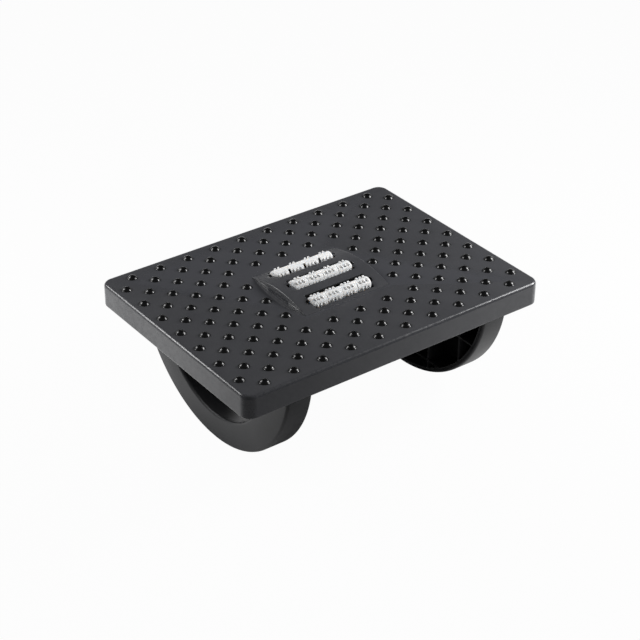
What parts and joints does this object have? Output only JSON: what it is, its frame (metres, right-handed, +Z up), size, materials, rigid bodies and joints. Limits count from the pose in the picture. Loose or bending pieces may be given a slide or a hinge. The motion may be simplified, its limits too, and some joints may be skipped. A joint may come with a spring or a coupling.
{
  "type": "tilting footrest",
  "caption": "Tilting under-desk footrest: a studded platform on two curved rockers that rock on the floor, with free-turning massage rollers in an arched panel at its middle.",
  "frame": {"origin": "on the floor under the middle of the footrest", "axes": "+X along the platform's length, +Z up, -Y towards the sitter"},
  "size_m": [0.453, 0.33, 0.1865],
  "materials": {
    "platform_plastic": "satin charcoal, finely textured, with glossier studs",
    "panel_plastic": "satin charcoal",
    "tray_plastic": "satin charcoal, hidden under the platform",
    "rocker_plastic": "satin charcoal",
    "roller_plastic": "satin light grey, slightly translucent",
    "axle_steel": "drawn steel pin",
    "screw_steel": "zinc plated"
  },
  "bodies": {
    "footrest": {"platform": "platform_plastic", "roller_panel": "panel_plastic", "roller_tray": "tray_plastic", "left_rocker": "rocker_plastic", "right_rocker": "rocker_plastic", "roller_axle_front": "axle_steel", "roller_axle_middle": "axle_steel", "roller_axle_back": "axle_steel", "rocker_screw_1": "screw_steel", "rocker_screw_2": "screw_steel", "rocker_screw_3": "screw_steel", "rocker_screw_4": "screw_steel", "rocker_screw_5": "screw_steel", "rocker_screw_6": "screw_steel", "rocker_screw_7": "screw_steel", "rocker_screw_8": "screw_steel", "tray_screw_1": "screw_steel", "tray_screw_2": "screw_steel", "tray_screw_3": "screw_steel", "tray_screw_4": "screw_steel"},
    "front_roller": {"massage_roller_front": "roller_plastic"},
    "middle_roller": {"massage_roller_middle": "roller_plastic"},
    "back_roller": {"massage_roller_back": "roller_plastic"}
  },
  "joints": [
    {"name": "front_roller_spin", "type": "hinge", "parent": "footrest", "child": "front_roller", "pos_m": [0, -0.04, 0.17084], "axis": [1, 0, 0], "continuous": true},
    {"name": "middle_roller_spin", "type": "hinge", "parent": "footrest", "child": "middle_roller", "pos_m": [0, 0, 0.1756], "axis": [1, 0, 0], "continuous": true},
    {"name": "back_roller_spin", "type": "hinge", "parent": "footrest", "child": "back_roller", "pos_m": [0, 0.04, 0.17084], "axis": [1, 0, 0], "continuous": true}
  ]
}
